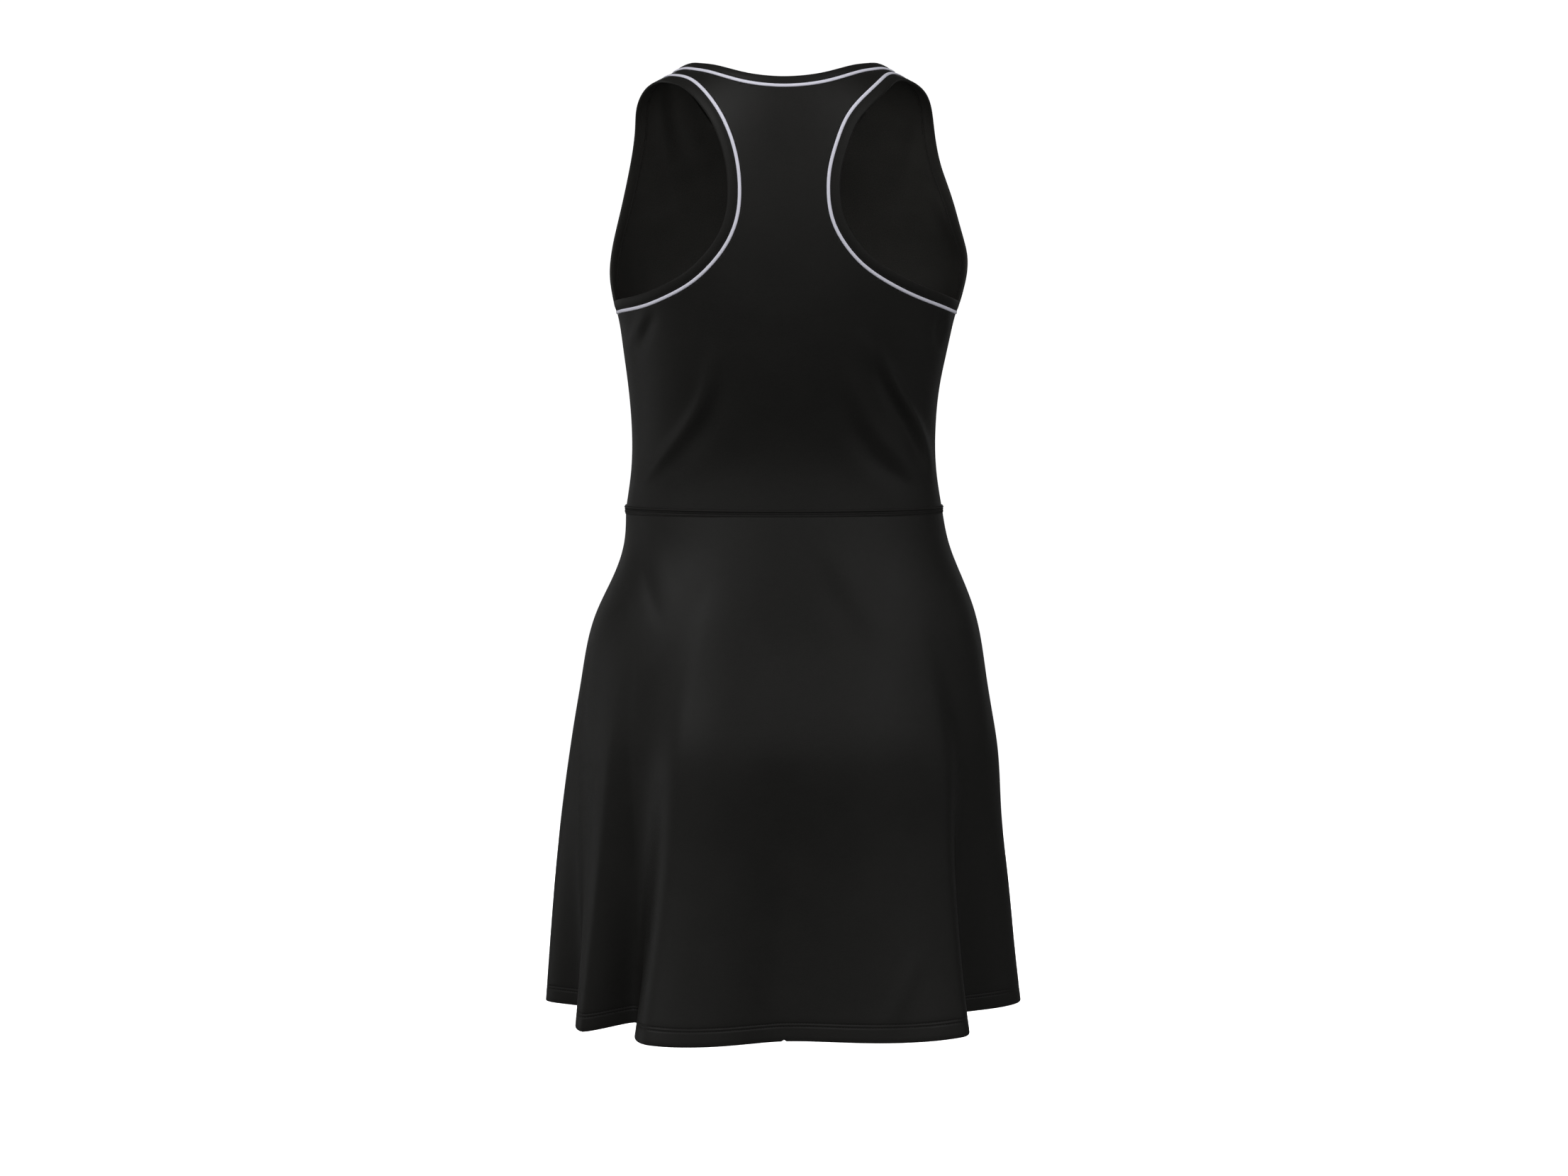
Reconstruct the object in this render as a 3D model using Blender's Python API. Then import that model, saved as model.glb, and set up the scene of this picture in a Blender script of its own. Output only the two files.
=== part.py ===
"""Sports dress with a racer back and a fluted skirt, filled out as if worn.

Metres, +Z up. The racer back faces -Y and the hidden front +Y, so +X is the
right side of whoever wears it. The origin is the middle of the shoulder line.
Tables are in millimetres and degrees, and are turned into metres at the end.
"""
import bpy
import numpy as np
from mathutils.geometry import delaunay_2d_cdt

MM = 0.001

# Cloth and trim
CLOTH = 1.3
HEM_CLOTH = 2.5
HEM_TALL = 17.0
SEAM_GAP = 0.3
PIPING_WIDE = 2.9
NECK_BINDING_WIDE = 7.4
ARM_BINDING_WIDE = 8.8
WAIST_SEAM_TALL = 7.0

# Heights, from the shoulder line
WAIST_Z = -385.0
HEM_Z = -837.0
HEM_SIDE_RISE = 6.0
SHOULDER_FLAT = 50.0

# How finely each piece is drawn
WAIST_STEPS = 28
SIDE_STEPS = 13
ARM_STEPS = 22
NECK_STEPS = 13
CLOTH_STEP = 12.8
SKIRT_COLUMNS = 52
SKIRT_ROWS = 11

# Bodice rings, waist to shoulder: height, half widths, depths, fall of the shoulder
BODICE_COLUMNS = ("height", "left", "right", "back", "front", "fall")
BODICE_RINGS = (
    (-385, 141.0, 141.0, 80, 97, 0.000),
    (-348, 136.0, 135.5, 78, 97, 0.000),
    (-310, 135.6, 135.0, 83, 102, 0.000),
    (-273, 138.7, 138.7, 92, 110, 0.000),
    (-240, 143.0, 145.5, 99, 118, 0.000),
    (-210, 148.0, 152.5, 104, 122, 0.000),
    (-168, 161.0, 165.5, 108, 121, 0.030),
    (-123, 166.0, 170.0, 109, 112, 0.100),
    (-78, 168.0, 170.0, 105, 100, 0.240),
    (-38, 168.0, 169.0, 97, 84, 0.390),
    (-4, 167.0, 168.0, 83, 66, 0.510),
    (20, 166.0, 166.0, 62, 47, 0.590),
    (34, 165.0, 165.0, 34, 26, 0.630),
    (40, 165.0, 165.0, 0, 0, 0.640),
)

# Armhole seam, up the cloth from the waist and out from the middle
ARM_COLUMNS = ("up", "left", "right")
BACK_ARM = (
    (180, 140, 147),
    (184, 122, 137),
    (192, 102, 116),
    (206, 78, 88),
    (221, 62, 67),
    (237, 50, 53),
    (258, 41, 42),
    (284, 38, 38),
    (303, 39, 39),
    (330, 44, 45),
    (358, 53, 54),
    (388, 66, 69),
    (421, 82, 84),
    (455, 98, 95),
)
SHOULDER_ARM = 107.0
FRONT_ARM = (
    (455, 118, 118),
    (395, 125, 126),
    (335, 132, 136),
    (291, 139, 148),
    (250, 147, 157),
    (222, 151, 160),
    (200, 151, 157.5),
    (186, 149, 155),
)
UNDERARM = 178.0

# Neck seam, up the cloth from the waist and out from the middle, on both sides alike
BACK_NECK_UP = 377.0
BACK_NECK = ((384, 28), (398, 48), (419, 67), (437, 79), (456, 88))
SHOULDER_NECK = 97.0
FRONT_NECK = ((460, 95), (430, 88), (402, 79), (373, 67), (344, 50), (323, 27))
FRONT_NECK_UP = 315.0

# Skirt rings, waist to hem: height, half widths, depths
SKIRT_RINGS_COLUMNS = ("height", "left", "right", "back", "front")
SKIRT_RINGS = (
    (-385, 141.0, 141.0, 80, 97),
    (-417, 143.0, 147.5, 88, 104),
    (-448, 153.5, 159.5, 97, 111),
    (-478, 167.5, 170.5, 106, 117),
    (-539, 181.5, 181.5, 119, 128),
    (-601, 191.5, 191.5, 128, 138),
    (-662, 199.5, 195.5, 137, 147),
    (-723, 205.5, 202.0, 146, 155),
    (-784, 210.0, 208.0, 156, 162),
    (-837, 213.5, 214.0, 164, 169),
)

# Flutes round the hem: where, how far out at the hem, height where each begins, lift of the hem
FLUTE_COLUMNS = ("round", "reach", "start", "lift")
FLUTES = (
    (-180, 24, -430, 0),
    (-152, -26, -480, 2),
    (-130, 26, -460, -3),
    (-110, -22, -520, 2),
    (-90, 2, -560, 0),
    (-80, -31, -500, 0),
    (-63, 1, -480, -8),
    (-56, -36, -520, 0),
    (-34, 30, -440, 0),
    (2, -19, -430, 0),
    (47, 25, -470, 0),
    (66, -48, -540, 0),
    (90, 0, -560, 0),
    (106, -24, -500, 2),
    (130, 24, -450, -3),
    (154, -22, -480, 2),
    (180, 24, -430, 0),
)
FLUTE_POWER = 1.35

# Soft folds in the cloth: face, from x and z, to x and z, lift, half width
FOLD_COLUMNS = ("face", "x0", "z0", "x1", "z1", "lift", "wide")
FOLDS = (
    (-1, -68, -248, -128, -366, 3.0, 11),
    (-1, -56, -262, -104, -350, -2.6, 10),
    (-1, 53, -258, 128, -370, 3.0, 11),
    (-1, 46, -282, 110, -367, -2.4, 10),
    (-1, 74, -232, 132, -356, 2.6, 9),
    (-1, 80, -252, 114, -306, -2.0, 7),
    (-1, -121, -427, -104, -483, -2.0, 9),
    (-1, 23, -427, 66, -497, -2.4, 12),
    (1, -84, -226, -126, -350, 2.8, 12),
    (1, -58, -250, -98, -346, -2.4, 11),
    (1, 70, -228, 124, -348, 2.8, 12),
    (1, 50, -256, 94, -352, -2.2, 11),
    (1, -117, -22, -101, -82, 1.6, 8),
    (1, 96, -428, 78, -492, -2.2, 11),
    (1, -30, -430, -64, -500, -2.2, 12),
)


class Curve:
    """A cubic through a row of values, with its end slopes free or set."""

    def __init__(self, keys, values, start=None, end=None):
        self.keys = np.asarray(keys, float)
        self.values = np.asarray(values, float)
        count = len(self.keys)
        gap = np.diff(self.keys)
        rise = np.diff(self.values) / gap
        rows = np.zeros((count, count))
        side = np.zeros(count)
        for i in range(1, count - 1):
            rows[i, i - 1:i + 2] = gap[i - 1], 2 * (gap[i - 1] + gap[i]), gap[i]
            side[i] = 6 * (rise[i] - rise[i - 1])
        rows[0, 0] = rows[-1, -1] = 1
        if start is not None:
            rows[0, :2], side[0] = (2 * gap[0], gap[0]), 6 * (rise[0] - start)
        if end is not None:
            rows[-1, -2:], side[-1] = (gap[-1], 2 * gap[-1]), 6 * (end - rise[-1])
        self.bend = np.linalg.solve(rows, side)

    def __call__(self, key):
        i = np.clip(np.searchsorted(self.keys, key) - 1, 0, len(self.keys) - 2)
        gap = self.keys[i + 1] - self.keys[i]
        low, high = (self.keys[i + 1] - key) / gap, (key - self.keys[i]) / gap
        return (low * self.values[i] + high * self.values[i + 1]
                + ((low**3 - low) * self.bend[i] + (high**3 - high) * self.bend[i + 1])
                * gap * gap / 6)


def table(rows, names):
    """The columns of a table by name."""
    return dict(zip(names, np.array(rows, float).T))


def ring_length(rings):
    """How far up the cloth each bodice ring lies, measured on a middle line."""
    depth = (rings["back"] + rings["front"]) / 2
    return np.concatenate([[0], np.cumsum(np.hypot(np.diff(rings["height"]), np.diff(depth)))])


RINGS = table(BODICE_RINGS, BODICE_COLUMNS)
RING_UP = ring_length(RINGS)
CREST = RING_UP[-1]
BODICE = {
    name: Curve(RING_UP, RINGS[name], end=None if name in ("back", "front") else 0.0)
    for name in BODICE_COLUMNS
}
SKIRT = {
    name: Curve(-table(SKIRT_RINGS, SKIRT_RINGS_COLUMNS)["height"],
                table(SKIRT_RINGS, SKIRT_RINGS_COLUMNS)[name])
    for name in SKIRT_RINGS_COLUMNS[1:]
}


def fold_lift(face, x, z):
    """How far the soft folds lift the cloth at x and z on one face."""
    total = np.zeros_like(x)
    for side, x0, z0, x1, z1, lift, wide in FOLDS:
        along = np.array((x1 - x0, z1 - z0))
        long = np.hypot(*along)
        part = ((x - x0) * along[0] + (z - z0) * along[1]) / long**2
        off = ((x - x0) * along[1] - (z - z0) * along[0]) / long
        taper = np.sin(np.pi * np.clip(part * 0.84 + 0.08, 0, 1)) ** 1.5
        total += np.where(face == side, lift * taper * np.exp(-(off / wide) ** 2), 0)
    return total


def bodice_plain(turn, run):
    """Bodice form. Run goes up the back from the waist, over the shoulder and down the front."""
    face = np.where(run > CREST, 1.0, -1.0)
    up = np.minimum(run, 2 * CREST - run)
    angle = np.radians(turn)
    wide = np.where(turn < 0, BODICE["left"](up), BODICE["right"](up))
    deep = np.where(face > 0, BODICE["front"](up), BODICE["back"](up))
    x = wide * np.sin(angle)
    drop = BODICE["fall"](up) * (np.hypot(x, SHOULDER_FLAT) - SHOULDER_FLAT)
    return np.stack([x, face * deep * np.cos(angle), BODICE["height"](up) - drop], -1), face


def flute(turn, z):
    """How far the flutes push the skirt out and lift its hem at one place round it."""
    rows = table(FLUTES, FLUTE_COLUMNS)
    i = np.clip(np.searchsorted(rows["round"], turn) - 1, 0, len(FLUTES) - 2)
    part = (turn - rows["round"][i]) / (rows["round"][i + 1] - rows["round"][i])
    ease = (1 - np.cos(np.pi * part)) / 2
    reach, start, lift = (rows[name][i] * (1 - ease) + rows[name][i + 1] * ease
                          for name in FLUTE_COLUMNS[1:])
    grown = np.clip((start - z) / (start - HEM_Z), 0, 1) ** FLUTE_POWER
    return reach * grown, lift * grown


def skirt_plain(turn, z):
    """Skirt form. Turn is 0 at the middle back, 90 at the right side, 180 at the front."""
    angle = np.radians(turn)
    across, back = np.sin(angle), np.cos(angle)
    wide = np.where(across < 0, SKIRT["left"](-z), SKIRT["right"](-z))
    deep = np.where(back > 0, SKIRT["back"](-z), SKIRT["front"](-z))
    out, lift = flute(turn, z)
    reach = 1 / np.hypot(across / wide, back / deep) + out
    rise = lift + HEM_SIDE_RISE * across**2 * np.clip((WAIST_Z - z) / (WAIST_Z - HEM_Z), 0, 1)
    points = np.stack([reach * across, -reach * back, z + rise], -1)
    return points, np.where(back > 0, -1.0, 1.0)


def facing(plain, a, b, flip):
    """Unit normal of a form at a and b, from the form a short step either way."""
    step = 0.02
    along = plain(a + step, b)[0] - plain(a - step, b)[0]
    over = plain(a, b + step)[0] - plain(a, b - step)[0]
    out = np.cross(along, over) * flip
    return out / np.linalg.norm(out, axis=-1, keepdims=True)


def bodice(turn, run):
    """Bodice points and their normals, with the soft folds."""
    turn, run = np.asarray(turn, float), np.asarray(run, float)
    points, face = bodice_plain(turn, run)
    normal = facing(bodice_plain, turn, run, 1)
    return points + normal * fold_lift(face, points[..., 0], points[..., 2])[..., None], normal


def skirt(turn, z):
    """Skirt points and their normals, with the soft folds."""
    turn, z = np.asarray(turn, float), np.asarray(z, float)
    points, face = skirt_plain(turn, z)
    normal = facing(skirt_plain, turn, z, 1)
    return points + normal * fold_lift(face, points[..., 0], z)[..., None], normal


def to_turn(side, up, out):
    """Place round the bodice of a spot that lies out from the middle by so much."""
    wide = BODICE["left" if side < 0 else "right"](up)
    return side * np.degrees(np.arcsin(np.clip(out / wide, -1, 1)))


def arm_seam(side):
    """Armhole seam from the underarm up the back, over the shoulder and down the front."""
    name = "left" if side < 0 else "right"
    rows = [(side * 90.0, UNDERARM)]
    back, front = table(BACK_ARM, ARM_COLUMNS), table(FRONT_ARM, ARM_COLUMNS)
    rows += [(to_turn(side, up, out), up) for up, out in zip(back["up"], back[name])]
    rows += [(to_turn(side, CREST, SHOULDER_ARM), CREST)]
    rows += [(to_turn(side, up, out), 2 * CREST - up) for up, out in zip(front["up"], front[name])]
    rows += [(side * 90.0, 2 * CREST - UNDERARM)]
    return rows


def neck_seam():
    """Neck seam from the middle back over the left shoulder, round the front and back again."""
    half = [(to_turn(-1, up, out), up) for up, out in BACK_NECK]
    half += [(to_turn(-1, CREST, SHOULDER_NECK), CREST)]
    half += [(to_turn(-1, up, out), 2 * CREST - up) for up, out in FRONT_NECK]
    other = [(-turn, run) for turn, run in reversed(half)]
    return ([(0.0, BACK_NECK_UP)] + half + [(0.0, 2 * CREST - FRONT_NECK_UP)] + other
            + [(0.0, BACK_NECK_UP)])


def seam_line(rows, level):
    """A seam drawn finely through its rows. Level ends meet the side or middle squarely."""
    rows = np.array(rows)
    step = np.hypot(np.diff(rows[:, 0]) * 2.6, np.diff(rows[:, 1]))
    keys = np.concatenate([[0], np.cumsum(step)])
    fine = np.linspace(0, keys[-1], 1601)
    turn, run = Curve(keys, rows[:, 0]), Curve(keys, rows[:, 1], *((0.0, 0.0) if level else ()))
    return turn(fine), run(fine)


def seam_frame(turn, run, toward):
    """Points, normals and ways toward the opening along a closed seam."""
    points, normal = bodice(turn, run)
    along = np.roll(points, -1, 0) - np.roll(points, 1, 0)
    way = np.cross(normal, along) * toward
    return points, normal, way / np.linalg.norm(way, axis=-1, keepdims=True)


def moved(turn, run, toward, by):
    """A seam line moved over the bodice by a distance toward its opening."""
    points, _, way = seam_frame(turn[:-1], run[:-1], toward)
    step = 0.02
    along = (bodice(turn + step, run)[0] - bodice(turn - step, run)[0])[:-1] / (2 * step)
    over = (bodice(turn, run + step)[0] - bodice(turn, run - step)[0])[:-1] / (2 * step)
    new_turn, new_run = turn.copy(), run.copy()
    for i, (a, b, w) in enumerate(zip(along, over, way)):
        both = np.linalg.lstsq(np.stack([a, b], 1), w * by, rcond=None)[0]
        new_turn[i] += both[0]
        new_run[i] += both[1]
    new_turn[-1] = turn[-1] + (new_turn[0] - turn[0]) * (1 if abs(turn[0]) < 1 else 0)
    new_run[-1] = run[-1] + (new_run[0] - run[0]) * (1 if abs(turn[0]) < 1 else -1)
    return new_turn, new_run


def stations(turn, run, marks, counts):
    """Fine seam indices that split each stretch between two marks evenly."""
    points, _ = bodice(turn, run)
    length = np.concatenate([[0], np.cumsum(np.linalg.norm(np.diff(points, axis=0), axis=1))])
    picked = []
    for first, last, count in zip(marks, marks[1:], counts):
        even = np.linspace(length[first], length[last], count + 1)[:-1]
        picked += list(np.clip(np.searchsorted(length, even), first, last))
    return picked


def edge_stretch(turn, run, picked, face):
    """The stations of a moved seam on one face, ended squarely at the shoulder and side."""
    reach = 90 - np.degrees(SEAM_GAP / 2 / BODICE["back"](UNDERARM))
    room = np.minimum(face * (run - CREST) - SEAM_GAP / 2, reach - np.abs(turn))[:-1]
    first = int(np.argmax(room <= 0))
    marked = np.zeros(len(room), bool)
    marked[picked] = True
    room, marked = np.roll(room, -first), np.roll(marked, -first)
    places = np.roll(np.stack([turn, run], 1)[:-1], -first, 0)
    on = np.flatnonzero(room > 0)
    start, stop = on[0], on[-1]

    def crossing(a, b):
        part = room[a] / (room[a] - room[b])
        return places[a] * (1 - part) + places[b] * part

    inner = [places[k] for k in on if marked[k] and start + 5 < k < stop - 5]
    after = (stop + 1) % len(room)
    return np.array([crossing(start - 1, start)] + inner + [crossing(after, stop)])


def within(outline, spots, margin):
    """Which spots lie inside an outline and clear of its edge."""
    a, b = outline, np.roll(outline, -1, 0)
    keep = []
    for spot in spots:
        over = (a[:, 1] > spot[1]) != (b[:, 1] > spot[1])
        rise = np.where(over, b[:, 1] - a[:, 1], 1)
        cut = a[:, 0] + (spot[1] - a[:, 1]) * (b[:, 0] - a[:, 0]) / rise
        along = b - a
        part = ((spot - a) * along).sum(1) / (along**2).sum(1)
        near = a + np.clip(part, 0, 1)[:, None] * along
        clear = np.hypot(*(spot - near).T).min() > margin
        keep.append((over & (spot[0] < cut)).sum() % 2 == 1 and clear)
    return spots[np.array(keep)]


def panel(name, outline, face):
    """A cloth panel cut to its outline on the bodice, from the waist to the shoulder."""
    scale = np.array((2.6, 1.0))
    edge = outline * scale
    low, high = edge.min(0), edge.max(0)
    across = np.arange(-40, 41) * CLOTH_STEP
    rows = np.arange(low[1], high[1], CLOTH_STEP * 0.9)
    spots = np.array([(x + (i % 2) * CLOTH_STEP / 2, y) for i, y in enumerate(rows)
                      for x in across if low[0] < x < high[0]])
    flat = np.concatenate([edge, within(edge, spots, CLOTH_STEP * 0.55)])
    rim = list(range(len(edge)))
    rim_edges = list(zip(rim, rim[1:] + rim[:1]))
    cut = delaunay_2d_cdt(flat.tolist(), rim_edges, [], 1, 1e-4)
    triangles = [tuple(triangle) for triangle in cut[2]]
    places = flat / scale
    points, normal = bodice(places[:, 0], places[:, 1])
    under = len(points)
    vertices = np.concatenate([points + normal * CLOTH / 2, points - normal * CLOTH / 2])
    faces = triangles + [tuple(k + under for k in reversed(tri)) for tri in triangles]
    first = triangles[0]
    a, b, c = (flat[k] for k in first)
    counter = (b[0] - a[0]) * (c[1] - a[1]) - (b[1] - a[1]) * (c[0] - a[0]) > 0
    turned = (edge[:, 0] * np.roll(edge[:, 1], -1) - np.roll(edge[:, 0], -1) * edge[:, 1]).sum() > 0
    for i, j in rim_edges:
        quad = (j, i, i + under, j + under)
        faces.append(quad if counter == turned else tuple(reversed(quad)))
    return build(name, vertices, faces, BLACK, 0.62)


def build(name, vertices, faces, colour, rough):
    """One named object from its points and faces, with a material of its own."""
    swept = sum(np.dot(np.cross(vertices[face[0]], vertices[face[k]]), vertices[face[k + 1]])
                for face in faces for k in range(1, len(face) - 1))
    if swept < 0:
        faces = [tuple(reversed(face)) for face in faces]
    mesh = bpy.data.meshes.new(name)
    mesh.from_pydata((np.asarray(vertices) * MM).tolist(), [], faces)
    mesh.validate()
    mesh.polygons.foreach_set("use_smooth", [True] * len(mesh.polygons))
    material = bpy.data.materials.new(name)
    material.use_nodes = True
    shader = material.node_tree.nodes["Principled BSDF"]
    shader.inputs["Base Color"].default_value = (*colour, 1)
    shader.inputs["Roughness"].default_value = rough
    mesh.materials.append(material)
    made = bpy.data.objects.new(name, mesh)
    bpy.context.collection.objects.link(made)
    return made


def wall(name, points, normal, inner, colour, rough):
    """A cloth wall: the outer points, the inner points, and the edge between them."""
    rows, columns = points.shape[:2]
    outer = points + normal * CLOTH / 2
    inside = points - normal * np.asarray(inner, float).reshape(-1, 1, 1)
    vertices = np.concatenate([outer.reshape(-1, 3), inside.reshape(-1, 3)])
    under = rows * columns
    faces = []
    for i in range(rows - 1):
        for j in range(columns - 1):
            a = i * columns + j
            quad = (a, a + 1, a + columns + 1, a + columns)
            faces.append(quad)
            faces.append(tuple(k + under for k in reversed(quad)))
    rim = list(range(columns))
    rim += [i * columns + columns - 1 for i in range(1, rows)]
    rim += [(rows - 1) * columns + j for j in range(columns - 2, -1, -1)]
    rim += [i * columns for i in range(rows - 2, 0, -1)]
    for a, b in zip(rim, rim[1:] + rim[:1]):
        faces.append((b, a, a + under, b + under))
    return build(name, vertices, faces, colour, rough)


def strip(name, points, normal, way, profile, colour, rough):
    """A closed strip whose cross-section runs round a seam."""
    sides = len(profile)
    rings = [points + way * across + normal * out for across, out in profile]
    vertices = np.stack(rings, 1).reshape(-1, 3)
    faces = []
    count = len(points)
    for i in range(count):
        for j in range(sides):
            a, b = i * sides + j, i * sides + (j + 1) % sides
            c, d = (i + 1) % count * sides + (j + 1) % sides, (i + 1) % count * sides + j
            faces.append((a, b, c, d))
    return build(name, vertices, faces, colour, rough)


def piping_profile():
    """Cross-section of the flat piping, a little proud of the cloth."""
    half = PIPING_WIDE / 2
    return ((-half, -0.6), (half, -0.6), (half, 0.6), (half * 0.5, 1.2), (-half * 0.5, 1.2),
            (-half, 0.6))


def binding_profile(wide):
    """Cross-section of a folded binding, round at its open edge."""
    near = PIPING_WIDE / 2 + SEAM_GAP
    far = near + wide
    return ((near, -1.2), (far - 0.7, -1.2), (far, -0.5), (far, 0.5), (far - 0.7, 1.2),
            (near, 1.2))


BLACK = (0.012, 0.012, 0.013)
WHITE = (0.74, 0.74, 0.80)


def make_bodice():
    """Front and back bodice, and the piping and binding of the neck and armholes."""
    inset = -(PIPING_WIDE / 2 + SEAM_GAP)
    neck = seam_line(neck_seam(), False)
    end = len(neck[1]) - 1
    left = int(np.argmax(neck[1] > CREST))
    right = end - int(np.argmax(neck[1][::-1] > CREST))
    seams = {0: (neck, -1, stations(*neck, (0, left, (left + right) // 2, right, end),
                                    (NECK_STEPS,) * 4))}
    for side in (-1, 1):
        arm = seam_line(arm_seam(side), True)
        crest = int(np.argmax(arm[1] > CREST))
        seams[side] = (arm, -side, stations(*arm, (0, crest, end), (ARM_STEPS,) * 2))

    low = WAIST_SEAM_TALL / 2 + SEAM_GAP
    for face, name in ((-1, "back_bodice"), (1, "front_bodice")):
        edges = {
            key: edge_stretch(*moved(*line, toward, inset), picked, face)
            for key, (line, toward, picked) in seams.items()
        }
        if face > 0:
            edges = {key: edge[::-1] for key, edge in edges.items()}
        start = low if face < 0 else 2 * CREST - low
        left_arm, right_arm, neck_edge = edges[-1], edges[1], edges[0]
        bottom = np.stack([np.linspace(left_arm[0, 0], right_arm[0, 0], WAIST_STEPS + 1),
                           np.full(WAIST_STEPS + 1, start)], 1)
        right_side = np.linspace(bottom[-1], right_arm[0], SIDE_STEPS + 1)[1:-1]
        left_side = np.linspace(left_arm[0], bottom[0], SIDE_STEPS + 1)[1:-1]
        outline = np.concatenate([bottom, right_side, right_arm, neck_edge, left_arm[::-1],
                                  left_side])
        panel(name, outline, face)

    names = {0: ("neck", NECK_BINDING_WIDE), -1: ("left_arm", ARM_BINDING_WIDE),
             1: ("right_arm", ARM_BINDING_WIDE)}
    for key, (line, toward, picked) in seams.items():
        name, wide = names[key]
        points, normal, way = seam_frame(line[0][:-1], line[1][:-1], toward)
        points, normal, way = points[picked], normal[picked], way[picked]
        strip(name + "_piping", points, normal, way, piping_profile(), WHITE, 0.55)
        strip(name + "_binding", points, normal, way, binding_profile(wide), BLACK, 0.62)


def make_waist():
    """Waist seam, a lapped band that stands a little proud."""
    turns = np.linspace(-90, 90, WAIST_STEPS * 2 + 1)[:-1]
    back, back_out = bodice(turns, np.zeros_like(turns))
    front, front_out = bodice(turns[::-1] + turns[1] - turns[0], np.full_like(turns, 2 * CREST))
    points = np.concatenate([back, front])
    normal = np.concatenate([back_out, front_out])
    normal[:, 2] = 0
    normal /= np.linalg.norm(normal, axis=1, keepdims=True)
    up = np.tile((0.0, 0.0, 1.0), (len(points), 1))
    tall = WAIST_SEAM_TALL / 2
    profile = ((-tall, -1.2), (tall, -1.2), (tall, 1.0), (tall - 0.9, 1.7),
               (-tall + 0.9, 1.7), (-tall, 1.0))
    strip("waist_seam", points, normal, up, profile, BLACK, 0.62)


def make_skirt():
    """Front and back skirt, each with its hem folded in."""
    top = WAIST_Z - WAIST_SEAM_TALL / 2 - SEAM_GAP
    fold = HEM_Z + HEM_TALL
    heights = np.append(np.linspace(top, fold + 0.6, SKIRT_ROWS + 1), (fold, HEM_Z))[::-1]
    inner = np.where(heights <= fold, HEM_CLOTH - CLOTH / 2, CLOTH / 2)
    for centre, name in ((0, "back_skirt"), (180, "front_skirt")):
        turn = np.empty((len(heights), SKIRT_COLUMNS + 1))
        for i, z in enumerate(heights):
            wide = SKIRT["left"](-z)
            reach = 90 - np.degrees(SEAM_GAP / 2 / wide)
            turn[i] = centre + np.linspace(-reach, reach, SKIRT_COLUMNS + 1)
        turn = np.where(turn > 180, turn - 360, turn)
        height = np.repeat(heights[:, None], SKIRT_COLUMNS + 1, 1)
        points, normal = skirt(turn, height)
        wall(name, points, normal, inner, BLACK, 0.62)


for old in list(bpy.data.objects):
    bpy.data.objects.remove(old, do_unlink=True)
make_bodice()
make_waist()
make_skirt()
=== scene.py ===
"""Sports dress: its cloth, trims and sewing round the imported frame, in a plain pale studio.

Metres, +Z up; the racer back faces -Y and the hidden front +Y. The tables and the
forms are in millimetres and degrees, and are turned into metres when a piece is made.
"""
import math

import bmesh
import bpy
import numpy as np
from mathutils import Matrix, Vector


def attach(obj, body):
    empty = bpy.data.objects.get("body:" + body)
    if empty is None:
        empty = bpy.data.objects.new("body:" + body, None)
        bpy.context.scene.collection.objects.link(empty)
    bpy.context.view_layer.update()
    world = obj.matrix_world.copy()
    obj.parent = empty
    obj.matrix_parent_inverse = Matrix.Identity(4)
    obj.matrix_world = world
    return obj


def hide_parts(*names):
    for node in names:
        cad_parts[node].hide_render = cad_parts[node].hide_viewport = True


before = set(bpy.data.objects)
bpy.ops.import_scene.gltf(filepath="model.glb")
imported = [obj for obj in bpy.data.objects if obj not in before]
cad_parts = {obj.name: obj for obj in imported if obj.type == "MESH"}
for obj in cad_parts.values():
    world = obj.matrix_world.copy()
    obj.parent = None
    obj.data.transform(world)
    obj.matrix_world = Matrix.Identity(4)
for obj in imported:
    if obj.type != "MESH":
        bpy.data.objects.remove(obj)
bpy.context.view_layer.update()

MM = 0.001

# Cloth and trim
CLOTH = 1.2
BEND = 1.4
HEM_TALL = 16.0
HEM_ROWS = (12.6, 15.4)
PIPING_WIDE = 2.9
NECK_BINDING_WIDE = 7.4
ARM_BINDING_WIDE = 8.8
SEAM_GAP = 0.3

# Heights, from the shoulder line
WAIST_Z = -385.0
HEM_Z = -837.0
HEM_SIDE_RISE = 6.0
SHOULDER_FLAT = 50.0

# How finely the cloth is drawn
BODICE_STEP = 2.7
SKIRT_COLUMNS = 200
SKIRT_ROWS = 140
STRIP_STEP = 2.4

# Bodice rings, waist to shoulder: height, half widths, depths, fall of the shoulder
BODICE_COLUMNS = ("height", "left", "right", "back", "front", "fall")
BODICE_RINGS = (
    (-385, 141.0, 141.0, 80, 97, 0.000),
    (-348, 136.0, 135.5, 78, 97, 0.000),
    (-310, 135.6, 135.0, 83, 102, 0.000),
    (-273, 138.7, 138.7, 92, 110, 0.000),
    (-240, 143.0, 145.5, 99, 118, 0.000),
    (-210, 148.0, 152.5, 104, 122, 0.000),
    (-168, 161.0, 165.5, 108, 121, 0.030),
    (-123, 166.0, 170.0, 109, 112, 0.100),
    (-78, 168.0, 170.0, 105, 100, 0.240),
    (-38, 168.0, 169.0, 97, 84, 0.390),
    (-4, 167.0, 168.0, 83, 66, 0.510),
    (20, 166.0, 166.0, 62, 47, 0.590),
    (34, 165.0, 165.0, 34, 26, 0.630),
    (40, 165.0, 165.0, 0, 0, 0.640),
)

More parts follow.
